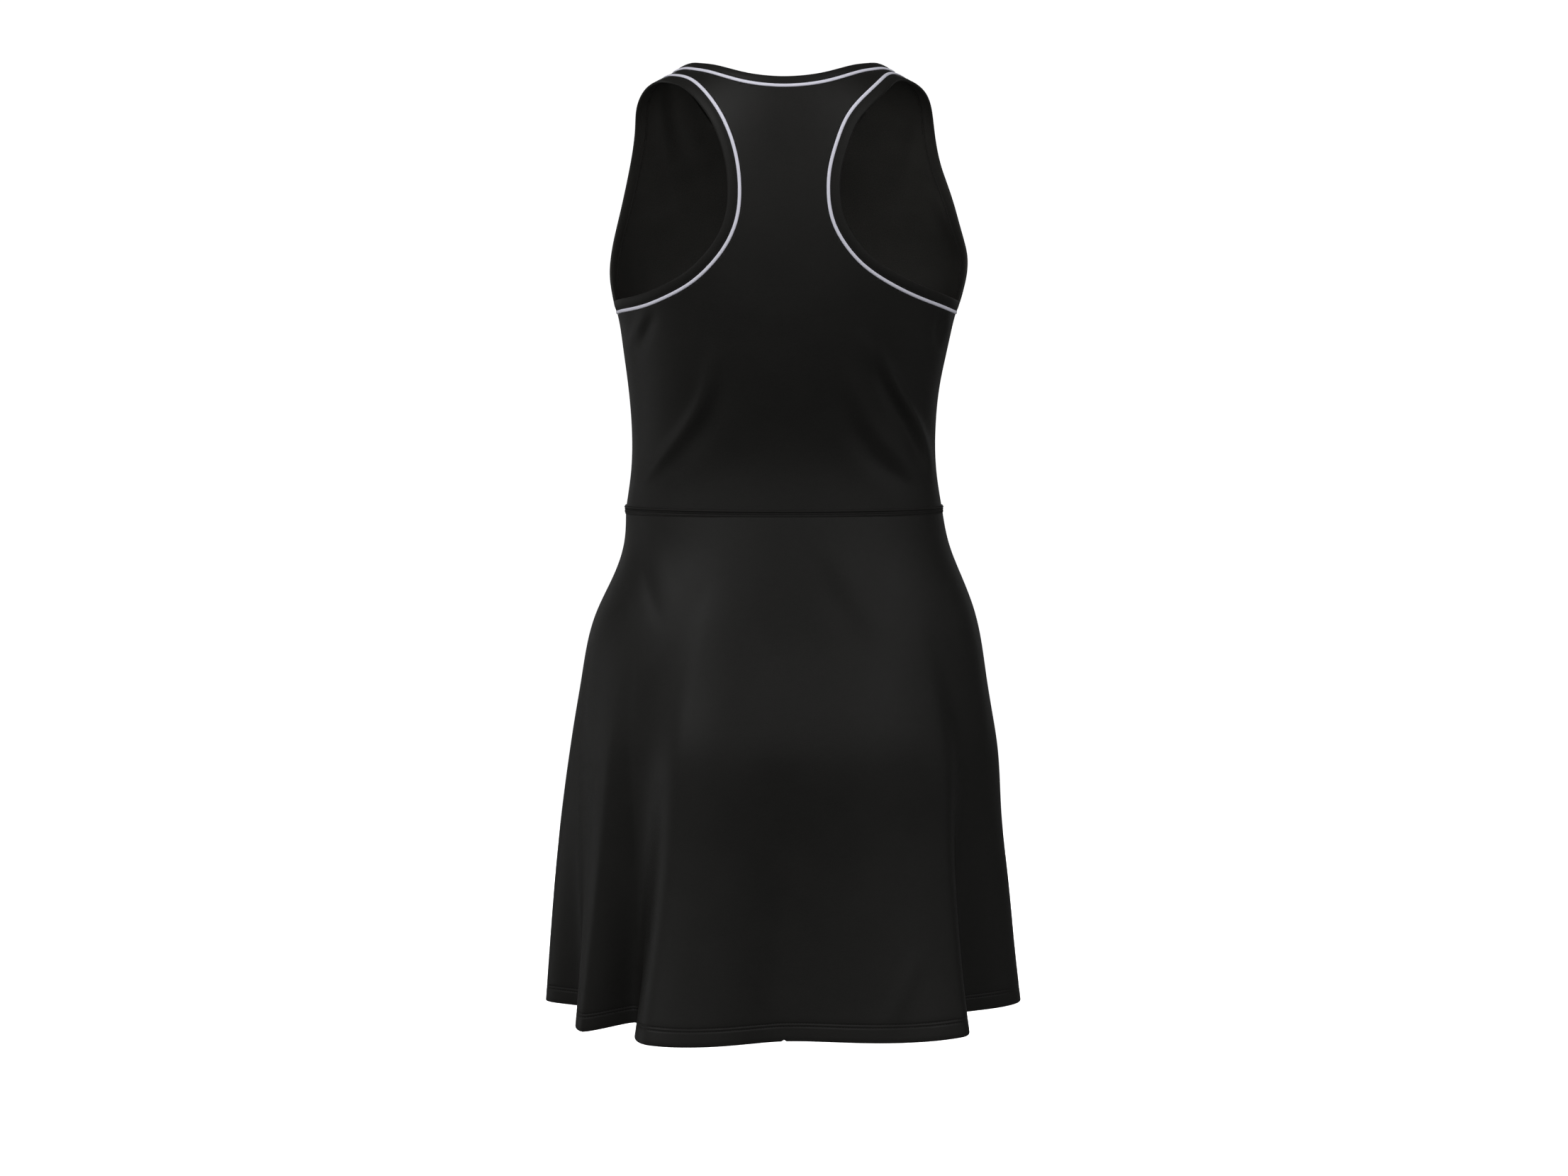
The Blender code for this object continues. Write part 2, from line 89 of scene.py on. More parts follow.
# Armhole seam, up the cloth from the waist and out from the middle
ARM_COLUMNS = ("up", "left", "right")
BACK_ARM = (
    (180, 140, 147),
    (184, 122, 137),
    (192, 102, 116),
    (206, 78, 88),
    (221, 62, 67),
    (237, 50, 53),
    (258, 41, 42),
    (284, 38, 38),
    (303, 39, 39),
    (330, 44, 45),
    (358, 53, 54),
    (388, 66, 69),
    (421, 82, 84),
    (455, 98, 95),
)
SHOULDER_ARM = 107.0
FRONT_ARM = (
    (455, 118, 118),
    (395, 125, 126),
    (335, 132, 136),
    (291, 139, 148),
    (250, 147, 157),
    (222, 151, 160),
    (203, 151, 158),
)
UNDERARM = 178.0

# Neck seam, up the cloth from the waist and out from the middle, on both sides alike
BACK_NECK_UP = 377.0
BACK_NECK = ((384, 28), (398, 48), (419, 67), (437, 79), (456, 88))
SHOULDER_NECK = 97.0
FRONT_NECK = ((460, 95), (430, 88), (402, 79), (373, 67), (344, 50), (323, 27))
FRONT_NECK_UP = 315.0

# Skirt rings, waist to hem: height, half widths, depths
SKIRT_RINGS_COLUMNS = ("height", "left", "right", "back", "front")
SKIRT_RINGS = (
    (-385, 141.0, 141.0, 80, 97),
    (-417, 143.0, 147.5, 88, 104),
    (-448, 153.5, 159.5, 97, 111),
    (-478, 167.5, 170.5, 106, 117),
    (-539, 181.5, 181.5, 121, 128),
    (-575, 187.5, 187.5, 128, 134),
    (-601, 191.5, 191.5, 131, 138),
    (-662, 199.5, 195.5, 134, 147),
    (-723, 205.5, 202.0, 141, 155),
    (-784, 210.0, 208.0, 152, 162),
    (-837, 213.5, 214.0, 164, 169),
)

# Flutes round the hem: where, how far out at the hem, height where each begins, lift of the hem
FLUTE_COLUMNS = ("round", "reach", "start", "lift")
FLUTES = (
    (-180, 24, -430, 0),
    (-152, -26, -480, 2),
    (-130, 26, -460, -3),
    (-110, -22, -520, 2),
    (-90, 2, -560, 0),
    (-80, -31, -500, 0),
    (-63, 1, -480, -8),
    (-56, -36, -520, 0),
    (-34, 30, -440, 0),
    (2, -19, -430, 0),
    (47, 25, -470, 0),
    (66, -48, -540, 0),
    (90, 0, -560, 0),
    (106, -24, -500, 2),
    (130, 24, -450, -3),
    (154, -22, -480, 2),
    (180, 24, -430, 0),
)
FLUTE_POWER = 1.35
LEAN = (55.0, 20.0, 8.0)

# Creases laid one by one: face, lift, half widths toward -X and +X, and the path down in x and z
CREASES = (
    # back bodice, the pair that runs down to the left end of the waist
    (-1, 2.9, 6.0, 5.5, ((-62, -242), (-70, -282), (-87, -312), (-108, -339), (-135, -371))),
    (-1, -2.0, 5.5, 11, ((-51, -250), (-58, -285), (-74, -316), (-97, -344))),
    # back bodice, the inner pair on the right
    (-1, -2.6, 11, 5.0, ((49, -268), (58, -304), (76, -332), (103, -356), (124, -372))),
    (-1, 2.3, 5.0, 10, ((58, -262), (70, -299), (91, -328), (119, -354))),
    # back bodice, the outer pair on the right
    (-1, 1.2, 6, 5, ((66, -226), (74, -244), (84, -264))),
    (-1, -2.6, 7, 4.0, ((76, -242), (89, -275), (101, -297), (114, -323), (121, -346))),
    (-1, 4.0, 4.0, 5.5, ((83, -244), (97, -274), (110, -297), (122, -324), (131, -356))),
    # tucks under the armholes
    (-1, 1.5, 4, 5, ((-120, -205), (-127, -220), (-135, -240))),
    (-1, -1.4, 4, 5, ((-112, -208), (-119, -224), (-127, -244))),
    (-1, -1.6, 5, 4, ((137, -207), (136, -222), (134, -240))),
    (-1, 1.3, 4, 4, ((145, -204), (144, -218), (141, -238))),
    # back skirt under the waist
    (-1, -0.8, 6, 5, ((-126, -420), (-119, -450), (-107, -482))),
    (-1, 0.5, 8, 9, ((-112, -418), (-104, -446), (-92, -474))),
    (-1, -1.1, 18, 9, ((20, -414), (46, -460), (70, -500))),
    (-1, 0.8, 9, 18, ((34, -410), (62, -456), (84, -492))),
    (-1, -0.6, 14, 12, ((-46, -420), (-26, -478), (0, -512))),
    (-1, 2.6, 12, 8, ((134, -412), (158, -470), (172, -540), (180, -620))),
    (-1, 1.2, 8, 8, ((116, -758), (103, -792), (88, -828))),
    # front bodice, as the back
    (1, 2.8, 10, 8, ((-84, -222), (-97, -262), (-110, -304), (-128, -352))),
    (1, -2.6, 8, 11, ((-60, -246), (-76, -284), (-88, -318), (-104, -352))),
    (1, 1.6, 8, 8, ((-36, -300), (-52, -332), (-76, -364))),
    (1, 2.8, 8, 10, ((72, -224), (92, -268), (106, -306), (126, -352))),
    (1, -2.6, 11, 8, ((50, -252), (68, -292), (80, -322), (98, -356))),
    (1, 1.4, 8, 8, ((30, -306), (46, -336), (66, -366))),
    # upper front, fanning down from the straps, which shows inside through the armholes
    (1, -2.2, 5, 5, ((-103, 4), (-100, -34), (-93, -72))),
    (1, 2.4, 5, 6, ((-111, -4), (-108, -52), (-102, -112))),
    (1, -1.8, 5, 5, ((-119, -12), (-117, -58), (-112, -104))),
    (1, 1.4, 8, 9, ((-88, -6), (-82, -48), (-70, -92))),
    (1, 1.4, 8, 7, ((120, -30), (114, -68), (106, -110))),
    (1, -2.4, 7, 8, ((136, -98), (150, -126), (160, -158))),
    (1, 1.8, 6, 6, ((146, -92), (158, -120), (166, -146))),
    # front skirt under the waist
    (1, -2.2, 9, 8, ((100, -414), (90, -452), (76, -494))),
    (1, 1.4, 9, 8, ((86, -412), (76, -446), (60, -484))),
    (1, -2.2, 8, 9, ((-30, -418), (-48, -462), (-66, -502))),
    (1, 1.4, 9, 8, ((-48, -414), (-66, -456), (-84, -490))),
    (1, 2.2, 8, 11, ((-134, -414), (-156, -470), (-170, -540), (-178, -610))),
)

# Broad hollows and swells: face, x and z of the middle, half widths across, up and down, and lift
SWELLS = (
    (-1, 20, -492, 62, 58, 46, -7.0),
    (-1, 0, -600, 125, 46, 160, 5.5),
    (1, 0, -470, 60, 44, 44, 2.5),
)

# Trim cross-sections: out from the seam line, then off the cloth
PIPING_EDGE = (
    (-1.25, -0.2), (-1.5, 0.3), (-1.48, 0.85), (-1.15, 1.25), (-0.5, 1.42), (0.4, 1.42),
    (1.05, 1.3), (1.42, 0.95), (1.5, 0.35), (1.25, -0.2),
)
WAIST_EDGE = (
    (-3.1, -0.9), (-3.6, 0.2), (-3.5, 0.85), (-3.1, 1.25), (-2.6, 1.2), (-1.9, 1.3), (-1.0, 1.3),
    (-0.4, 1.05), (0.1, 1.25), (0.9, 1.25), (1.35, 1.05), (1.7, 1.6), (2.3, 1.95), (2.9, 1.75),
    (3.3, 1.1), (3.6, 0.2), (3.1, -0.9), (0.0, -1.2),
)


class Curve:
    """A cubic through a row of values, with its end slopes free or set."""

    def __init__(self, keys, values, start=None, end=None):
        self.keys = np.asarray(keys, float)
        self.values = np.asarray(values, float)
        count = len(self.keys)
        gap = np.diff(self.keys)
        rise = np.diff(self.values) / gap
        rows = np.zeros((count, count))
        side = np.zeros(count)
        for i in range(1, count - 1):
            rows[i, i - 1:i + 2] = gap[i - 1], 2 * (gap[i - 1] + gap[i]), gap[i]
            side[i] = 6 * (rise[i] - rise[i - 1])
        rows[0, 0] = rows[-1, -1] = 1
        if start is not None:
            rows[0, :2], side[0] = (2 * gap[0], gap[0]), 6 * (rise[0] - start)
        if end is not None:
            rows[-1, -2:], side[-1] = (gap[-1], 2 * gap[-1]), 6 * (end - rise[-1])
        self.bend = np.linalg.solve(rows, side)

    def __call__(self, key):
        i = np.clip(np.searchsorted(self.keys, key) - 1, 0, len(self.keys) - 2)
        gap = self.keys[i + 1] - self.keys[i]
        low, high = (self.keys[i + 1] - key) / gap, (key - self.keys[i]) / gap
        return (low * self.values[i] + high * self.values[i + 1]
                + ((low**3 - low) * self.bend[i] + (high**3 - high) * self.bend[i + 1])
                * gap * gap / 6)


def table(rows, names):
    """The columns of a table by name."""
    return dict(zip(names, np.array(rows, float).T))


def ring_length(rings):
    """How far up the cloth each bodice ring lies, measured on a middle line."""
    depth = (rings["back"] + rings["front"]) / 2
    return np.concatenate([[0], np.cumsum(np.hypot(np.diff(rings["height"]), np.diff(depth)))])


RINGS = table(BODICE_RINGS, BODICE_COLUMNS)
RING_UP = ring_length(RINGS)
CREST = RING_UP[-1]
BODICE = {
    name: Curve(RING_UP, RINGS[name], end=None if name in ("back", "front") else 0.0)
    for name in BODICE_COLUMNS
}
SKIRT = {
    name: Curve(-table(SKIRT_RINGS, SKIRT_RINGS_COLUMNS)["height"],
                table(SKIRT_RINGS, SKIRT_RINGS_COLUMNS)[name])
    for name in SKIRT_RINGS_COLUMNS[1:]
}


def crease_path(path):
    """A crease's path drawn smoothly through its spots."""
    path = np.array(path, float)
    keys = np.concatenate([[0], np.cumsum(np.hypot(*np.diff(path, axis=0).T))])
    fine = np.linspace(0, keys[-1], 24)
    if len(path) < 3:
        return np.stack([np.interp(fine, keys, path[:, k]) for k in (0, 1)], 1)
    return np.stack([Curve(keys, path[:, k])(fine) for k in (0, 1)], 1)


PATHS = [crease_path(row[4]) for row in CREASES]


def crease_lift(face, x, z):
    """How far the creases lift the cloth at x and z on one face."""
    shape = x.shape
    spots = np.stack([x.ravel(), z.ravel()], 1)
    side = np.broadcast_to(face, shape).ravel()
    total = np.zeros(len(spots))
    for (crease_face, lift, minus_wide, plus_wide, _), path in zip(CREASES, PATHS):
        reach = 3 * max(minus_wide, plus_wide)
        low, high = path.min(0) - reach, path.max(0) + reach
        near = np.flatnonzero((side == crease_face) & (spots >= low).all(1)
                              & (spots <= high).all(1))
        if not len(near):
            continue
        from_path = spots[near, None, :] - path[None, :, :]
        closest = np.argmin((from_path**2).sum(2), 1)
        way = np.gradient(path, axis=0)
        way /= np.linalg.norm(way, axis=1, keepdims=True)
        gap = from_path[np.arange(len(near)), closest]
        along = (gap * way[closest]).sum(1)
        off = way[closest, 0] * gap[:, 1] - way[closest, 1] * gap[:, 0]
        long = np.linalg.norm(np.diff(path, axis=0), axis=1).sum()
        part = closest / (len(path) - 1) + along / long
        taper = np.sin(np.pi * np.clip(part * 0.84 + 0.08, 0, 1)) ** 1.4
        wide = np.where(off < 0, minus_wide, plus_wide)
        total[near] += lift * taper * np.exp(-(off / wide) ** 2)
    for swell_face, x0, z0, across, above, below, lift in SWELLS:
        down = np.where(spots[:, 1] > z0, above, below)
        part = ((spots[:, 0] - x0) / across) ** 2 + ((spots[:, 1] - z0) / down) ** 2
        total += np.where(side == swell_face, lift * np.exp(-part), 0)
    return total.reshape(shape)


def bodice_plain(turn, run):
    """Bodice form. Run goes up the back from the waist, over the shoulder and down the front."""
    face = np.where(run > CREST, 1.0, -1.0)
    up = np.minimum(run, 2 * CREST - run)
    angle = np.radians(turn)
    wide = np.where(turn < 0, BODICE["left"](up), BODICE["right"](up))
    deep = np.where(face > 0, BODICE["front"](up), BODICE["back"](up))
    x = wide * np.sin(angle)
    drop = BODICE["fall"](up) * (np.hypot(x, SHOULDER_FLAT) - SHOULDER_FLAT)
    return np.stack([x, face * deep * np.cos(angle), BODICE["height"](up) - drop], -1), face


def flute(turn, z):
    """How far the flutes push the skirt out and lift its hem at one place round it."""
    rows = table(FLUTES, FLUTE_COLUMNS)
    middle, wide, lean = LEAN
    risen = np.clip((z - HEM_Z) / 300, 0, 1)
    turn = turn - lean * np.exp(-((turn - middle) / wide) ** 2) * risen
    i = np.clip(np.searchsorted(rows["round"], turn) - 1, 0, len(FLUTES) - 2)
    part = (turn - rows["round"][i]) / (rows["round"][i + 1] - rows["round"][i])
    ease = (1 - np.cos(np.pi * part)) / 2
    reach, start, lift = (rows[name][i] * (1 - ease) + rows[name][i + 1] * ease
                          for name in FLUTE_COLUMNS[1:])
    grown = np.clip((start - z) / (start - HEM_Z), 0, 1) ** FLUTE_POWER
    return reach * grown, lift * grown


def skirt_plain(turn, z):
    """Skirt form. Turn is 0 at the middle back, 90 at the right side, 180 at the front."""
    turn = np.where(turn > 180, turn - 360, turn)
    angle = np.radians(turn)
    across, back = np.sin(angle), np.cos(angle)
    wide = np.where(across < 0, SKIRT["left"](-z), SKIRT["right"](-z))
    deep = np.where(back > 0, SKIRT["back"](-z), SKIRT["front"](-z))
    out, lift = flute(turn, z)
    reach = 1 / np.hypot(across / wide, back / deep) + out
    rise = lift + HEM_SIDE_RISE * across**2 * np.clip((WAIST_Z - z) / (WAIST_Z - HEM_Z), 0, 1)
    points = np.stack([reach * across, -reach * back, z + rise], -1)
    return points, np.where(back > 0, -1.0, 1.0)


def facing(plain, a, b):
    """Unit normal of a form at a and b, from the form a short step either way."""
    step = 0.02
    along = plain(a + step, b)[0] - plain(a - step, b)[0]
    over = plain(a, b + step)[0] - plain(a, b - step)[0]
    out = np.cross(along, over)
    return out / np.linalg.norm(out, axis=-1, keepdims=True)


def dressed(plain, a, b):
    """Points and normals of a form with its creases, which die away toward the side seams."""
    a, b = np.asarray(a, float), np.asarray(b, float)
    points, face = plain(a, b)
    normal = facing(plain, a, b)
    lift = crease_lift(face, points[..., 0], points[..., 2])
    lift = lift * np.clip(np.abs(points[..., 1]) / 22, 0, 1)
    return points + normal * lift[..., None], normal


def bodice(turn, run):
    """Bodice points and their normals."""
    return dressed(bodice_plain, turn, run)


def skirt(turn, z):
    """Skirt points and their normals."""
    return dressed(skirt_plain, turn, z)


def to_turn(side, up, out):
    """Place round the bodice of a spot that lies out from the middle by so much."""
    wide = BODICE["left" if side < 0 else "right"](up)
    return side * np.degrees(np.arcsin(np.clip(out / wide, -1, 1)))


def arm_seam(side):
    """Armhole seam from the underarm up the back, over the shoulder and down the front."""
    name = "left" if side < 0 else "right"
    rows = [(side * 90.0, UNDERARM)]
    back, front = table(BACK_ARM, ARM_COLUMNS), table(FRONT_ARM, ARM_COLUMNS)
    rows += [(to_turn(side, up, out), up) for up, out in zip(back["up"], back[name])]
    rows += [(to_turn(side, CREST, SHOULDER_ARM), CREST)]
    rows += [(to_turn(side, up, out), 2 * CREST - up) for up, out in zip(front["up"], front[name])]
    rows += [(side * 90.0, 2 * CREST - UNDERARM)]
    return rows


def neck_seam():
    """Neck seam from the middle back over the left shoulder, round the front and back again."""
    half = [(to_turn(-1, up, out), up) for up, out in BACK_NECK]
    half += [(to_turn(-1, CREST, SHOULDER_NECK), CREST)]
    half += [(to_turn(-1, up, out), 2 * CREST - up) for up, out in FRONT_NECK]
    other = [(-turn, run) for turn, run in reversed(half)]
    return ([(0.0, BACK_NECK_UP)] + half + [(0.0, 2 * CREST - FRONT_NECK_UP)] + other
            + [(0.0, BACK_NECK_UP)])


def seam_line(rows, level):
    """A seam drawn finely through its rows. Level ends meet the side or middle squarely."""
    rows = np.array(rows)
    step = np.hypot(np.diff(rows[:, 0]) * 2.6, np.diff(rows[:, 1]))
    keys = np.concatenate([[0], np.cumsum(step)])
    fine = np.linspace(0, keys[-1], 1601)
    turn, run = Curve(keys, rows[:, 0]), Curve(keys, rows[:, 1], *((0.0, 0.0) if level else ()))
    return turn(fine), run(fine)


def even(turn, run, step):
    """A closed seam line in even steps, without its repeated end."""
    points, _ = bodice(turn, run)
    length = np.concatenate([[0], np.cumsum(np.linalg.norm(np.diff(points, axis=0), axis=1))])
    places = np.linspace(0, length[-1], int(length[-1] / step) + 1)[:-1]
    return np.interp(places, length, turn), np.interp(places, length, run)


def seam_frame(turn, run, toward):
    """Points, normals and ways toward the opening along a closed seam."""
    points, normal = bodice(turn, run)
    along = np.roll(points, -1, 0) - np.roll(points, 1, 0)
    way = np.cross(normal, along) * toward
    return points, normal, way / np.linalg.norm(way, axis=-1, keepdims=True)


def moved(turn, run, toward, by):
    """A closed seam line moved over the bodice by a distance toward its opening."""
    _, _, way = seam_frame(turn, run, toward)
    step = 0.02
    along = (bodice(turn + step, run)[0] - bodice(turn - step, run)[0]) / (2 * step)
    over = (bodice(turn, run + step)[0] - bodice(turn, run - step)[0]) / (2 * step)
    new = [np.linalg.lstsq(np.stack([a, b], 1), w * by, rcond=None)[0]
           for a, b, w in zip(along, over, way)]
    return turn + np.array(new)[:, 0], run + np.array(new)[:, 1]


def face_stretch(turn, run, face, reach):
    """The part of a closed seam line on one face, ended squarely at the shoulder and side."""
    room = np.minimum(face * (run - CREST), reach - np.abs(turn))
    first = int(np.argmax(room <= 0))
    room = np.roll(room, -first)
    places = np.roll(np.stack([turn, run], 1), -first, 0)
    on = np.flatnonzero(room > 0)
    start, stop = on[0], on[-1]

    def crossing(a, b):
        if abs(places[a][0]) >= reach:
            return np.array((math.copysign(reach, places[b][0]), places[b][1]))
        part = room[a] / (room[a] - room[b])
        return places[a] * (1 - part) + places[b] * part

    after = (stop + 1) % len(room)
    return np.array([crossing(start - 1, start), *places[start + 1:stop], crossing(after, stop)])


# ---------------------------------------------------------------- pieces

def finish_piece(name, made, materials, nodes=()):
    """A bmesh made into a named piece that rides on the body and stands for CAD nodes."""
    mesh = bpy.data.meshes.new(name)
    made.to_mesh(mesh)
    made.free()
    for material in materials:
        mesh.materials.append(material)
    piece = bpy.data.objects.new(name, mesh)
    bpy.context.collection.objects.link(piece)
    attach(piece, "root")
    if nodes:
        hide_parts(*nodes)
    return piece


def set_places(made, points):
    """Moves every vertex of a bmesh to its place, given in millimetres."""
    for vertex, place in zip(made.verts, (points * MM).tolist()):
        vertex.co = place


def set_flat(made, flat):
    """Writes each vertex's place on the flat cloth, in metres, as the piece's UV map."""
    layer = made.loops.layers.uv.new("UVMap")
    flat = flat.tolist()
    for face in made.faces:
        face.smooth = True
        for loop in face.loops:
            loop[layer].uv = flat[loop.vert.index]


def turn_in_sides(made, is_side):
    """Extrudes the side edges in three steps, marked by their z, as the seam's turned-in edge."""
    picked = [edge for edge in made.edges if edge.is_boundary and all(map(is_side, edge.verts))]
    for _ in range(3):
        out = bmesh.ops.extrude_edge_only(made, edges=picked)["geom"]
        verts = [item for item in out if isinstance(item, bmesh.types.BMVert)]
        picked = [item for item in out if isinstance(item, bmesh.types.BMEdge)]
        bmesh.ops.translate(made, verts=verts, vec=(0, 0, 1))
        picked = [edge for edge in picked
                  if abs(edge.verts[0].co.z - edge.verts[1].co.z) < 0.5]


def tucked(points, normal, side_way, stage, flap):
    """Bends the marked side edges inward round a small radius, then straight in."""
    angle = np.radians(45) * np.minimum(stage, 2)
    along, inward = BEND * np.sin(angle), BEND * (1 - np.cos(angle))
    inward = inward + np.where(stage > 2.5, flap, 0)
    return points + side_way * along[:, None] - normal * inward[:, None]


def closed_seam(points, stage, face):
    """Brings the turned-in edges of a sheet up to the plane of the side seams."""
    near = np.where(stage > 1.5, 0.01, 0.45)
    points[:, 1] = np.where(stage > 0.5, face * near, points[:, 1])
    return points


def thin_wall(piece, inner_slot):
    """Gives a sheet its thickness, inward, with its inner face in the second material."""
    wall = piece.modifiers.new("cloth thickness", "SOLIDIFY")
    wall.thickness = CLOTH * MM
    wall.offset = -1
    wall.material_offset = inner_slot
    wall.material_offset_rim = 0
    return piece


def cut_panel(outline):
    """A flat panel filled inside its outline, then cut into small squares both ways."""
    made = bmesh.new()
    made.faces.new([made.verts.new((x, y, 0)) for x, y in outline])
    low, high = outline.min(0), outline.max(0)
    for axis in (1, 0):
        side = Vector((1 - axis, axis, 0))
        count = int((high[axis] - low[axis]) / BODICE_STEP)
        step = (high[axis] - low[axis]) / count
        for i in range(1, count):
            bmesh.ops.bisect_plane(
                made, geom=made.verts[:] + made.edges[:] + made.faces[:], dist=0.2,
                plane_co=side * float(low[axis] + i * step), plane_no=side)
    return made


CHART = 2.4


def across_cloth(turn, run):
    """How far round the cloth a bodice spot lies from the middle, in millimetres."""
    parts = np.linspace(0, 1, 17)[:, None]
    points, _ = bodice_plain(turn[None, :] * parts, np.broadcast_to(run, (17, len(run))))
    return np.sign(turn) * np.linalg.norm(np.diff(points, axis=0), axis=2).sum(0)


def bodice_cloth(name, face, lines, node, materials):
    """Front or back bodice, cut to its seam lines and laid on the form."""
    reach = 90 - math.degrees((BEND + 0.1) / 100)
    edges = [face_stretch(*line, face, reach) for line in lines]
    if face > 0:
        edges = [edge[::-1] for edge in edges]
    left_arm, neck, right_arm = edges
    start = 0.0 if face < 0 else 2 * CREST
    bottom = np.array([(left_arm[0, 0], start), (right_arm[0, 0], start)])
    outline = np.concatenate([bottom, right_arm, neck, left_arm[::-1]])
    made = cut_panel(outline * (CHART, 1.0))
    side = reach * CHART - 0.02
    turn_in_sides(made, lambda vertex: abs(vertex.co.x) > side and vertex.co.z == vertex.co.z)
    made.verts.index_update()
    chart = np.array([vertex.co[:] for vertex in made.verts])
    turn, run, stage = chart[:, 0] / CHART, chart[:, 1], chart[:, 2]
    points, normal = bodice(turn, run)
    sideways = bodice(turn + 0.05, run)[0] - bodice(turn - 0.05, run)[0]
    sideways *= np.sign(turn)[:, None] / np.linalg.norm(sideways, axis=1, keepdims=True)
    points = tucked(points + normal * CLOTH / 2, normal, sideways, stage, 4.0)
    points = closed_seam(points, stage, face)
    up = run if face < 0 else 2 * CREST - run
    flat = np.stack([across_cloth(turn, run) + np.sign(turn) * stage * 1.5, up], 1) * MM
    set_places(made, points)
    set_flat(made, flat)
    bmesh.ops.recalc_face_normals(made, faces=made.faces[:])
    face_outward(made, face)
    piece = finish_piece(name, made, materials, (node,))
    return thin_wall(piece, 1)


def face_outward(made, face):
    """Turns a sheet's faces over if they look into the body."""
    total = sum(item.normal.y * item.calc_area() for item in made.faces)
    if total * face < 0:
        bmesh.ops.reverse_faces(made, faces=made.faces[:])


def skirt_cloth(name, centre, node, materials):
    """Front or back skirt, with its hem folded in and its side edges turned in."""
    low = HEM_Z + BEND
    close = HEM_Z + np.arange(HEM_ROWS[0] - 1.8, HEM_ROWS[1] + 2.0, 0.6)
    down = np.linspace(WAIST_Z, low, SKIRT_ROWS + 1)
    down = down[(down > close[-1] + 1) | (down < close[0] - 1)]
    down = np.sort(np.concatenate([down, close]))[::-1]
    angles = np.radians((30, 60, 90, 120, 150, 180))
    inside = np.linspace(low + 2.5, HEM_Z + HEM_TALL, 6)
    heights = np.concatenate([down, np.full(len(angles), low), inside])
    bends = np.concatenate([np.zeros(len(down)), angles, np.full(len(inside), np.pi)])
    lengths = np.concatenate([WAIST_Z - down, WAIST_Z - low + BEND * angles,
                              WAIST_Z - low + BEND * np.pi + inside - low])
    made = bmesh.new()
    rows = len(heights) - 1
    bmesh.ops.create_grid(made, x_segments=SKIRT_COLUMNS, y_segments=rows, size=1)
    turn_in_sides(made, lambda vertex: abs(vertex.co.x) > 1 - 1e-5)
    made.verts.index_update()
    chart = np.array([vertex.co[:] for vertex in made.verts])
    row = np.rint((1 - chart[:, 1]) / 2 * rows).astype(int)
    height, bend, stage = heights[row], bends[row], chart[:, 2]
    reach = 90 - math.degrees((BEND + 0.1) / 180)
    turn = centre + chart[:, 0] * reach
    points, normal = skirt(turn, height)
    sideways = skirt(turn + 0.05, height)[0] - skirt(turn - 0.05, height)[0]
    sideways *= np.sign(chart[:, 0])[:, None] / np.linalg.norm(sideways, axis=1, keepdims=True)
    downward = np.cross(sideways * np.sign(chart[:, 0])[:, None], normal)
    downward *= np.where(downward[:, 2] > 0, -1, 1)[:, None]
    groove = sum(np.exp(-((height - HEM_Z - row) / 0.6) ** 2) for row in HEM_ROWS)
    points = points + normal * (CLOTH / 2 - 0.5 * groove * (bend == 0))[:, None]
    points = (points + downward * (BEND * np.sin(bend))[:, None]
              - normal * (BEND * (1 - np.cos(bend)))[:, None])
    points = tucked(points, normal, sideways, stage, 4.0)
    points = closed_seam(points, stage, -1 if centre == 0 else 1)
    round_it = np.hypot(points[:, 0], points[:, 1])
    flat = np.stack([np.radians(chart[:, 0] * reach) * round_it, lengths[row]], 1) * MM
    set_places(made, points)
    set_flat(made, flat)
    bmesh.ops.recalc_face_normals(made, faces=made.faces[:])
    outer = [item for item in made.faces if item.calc_center_median().z > (HEM_Z + 40) * MM]
    total = sum(item.normal.y * item.calc_area() for item in outer)
    if total * (-1 if centre == 0 else 1) < 0:
        bmesh.ops.reverse_faces(made, faces=made.faces[:])
    piece = finish_piece(name, made, materials, (node,))
    return thin_wall(piece, 1)


def strip(name, points, normal, way, profile, materials, nodes):
    """A closed strip whose cross-section runs round a seam, its inner faces in a second material."""
    count, sides = len(points), len(profile)
    profile = np.array(profile, float)
    made = bmesh.new()
    bmesh.ops.create_grid(made, x_segments=count, y_segments=sides, size=1)
    made.verts.index_update()
    chart = np.array([vertex.co[:2] for vertex in made.verts])
    i = np.rint((chart[:, 0] + 1) / 2 * count).astype(int)
    j = np.rint((chart[:, 1] + 1) / 2 * sides).astype(int)
    ring = np.concatenate([profile, profile[:1]])
    girth = np.concatenate([[0], np.cumsum(np.hypot(*np.diff(ring, axis=0).T))])
    long = np.linalg.norm(np.diff(np.concatenate([points, points[:1]]), axis=0), axis=1)
    length = np.concatenate([[0], np.cumsum(long)])
    at, part = i % count, profile[j % sides]
    places = points[at] + way[at] * part[:, :1] + normal[at] * part[:, 1:]
    set_flat(made, np.stack([length[i], girth[j]], 1) * MM)
    if len(materials) > 1:
        inner = ring[j, 1] < 0
        for item in made.faces:
            item.material_index = int(all(inner[vertex.index] for vertex in item.verts))
    set_places(made, places)
    bmesh.ops.remove_doubles(made, verts=made.verts[:], dist=0.00001)
    bmesh.ops.recalc_face_normals(made, faces=made.faces[:])
    return finish_piece(name, made, materials, nodes)


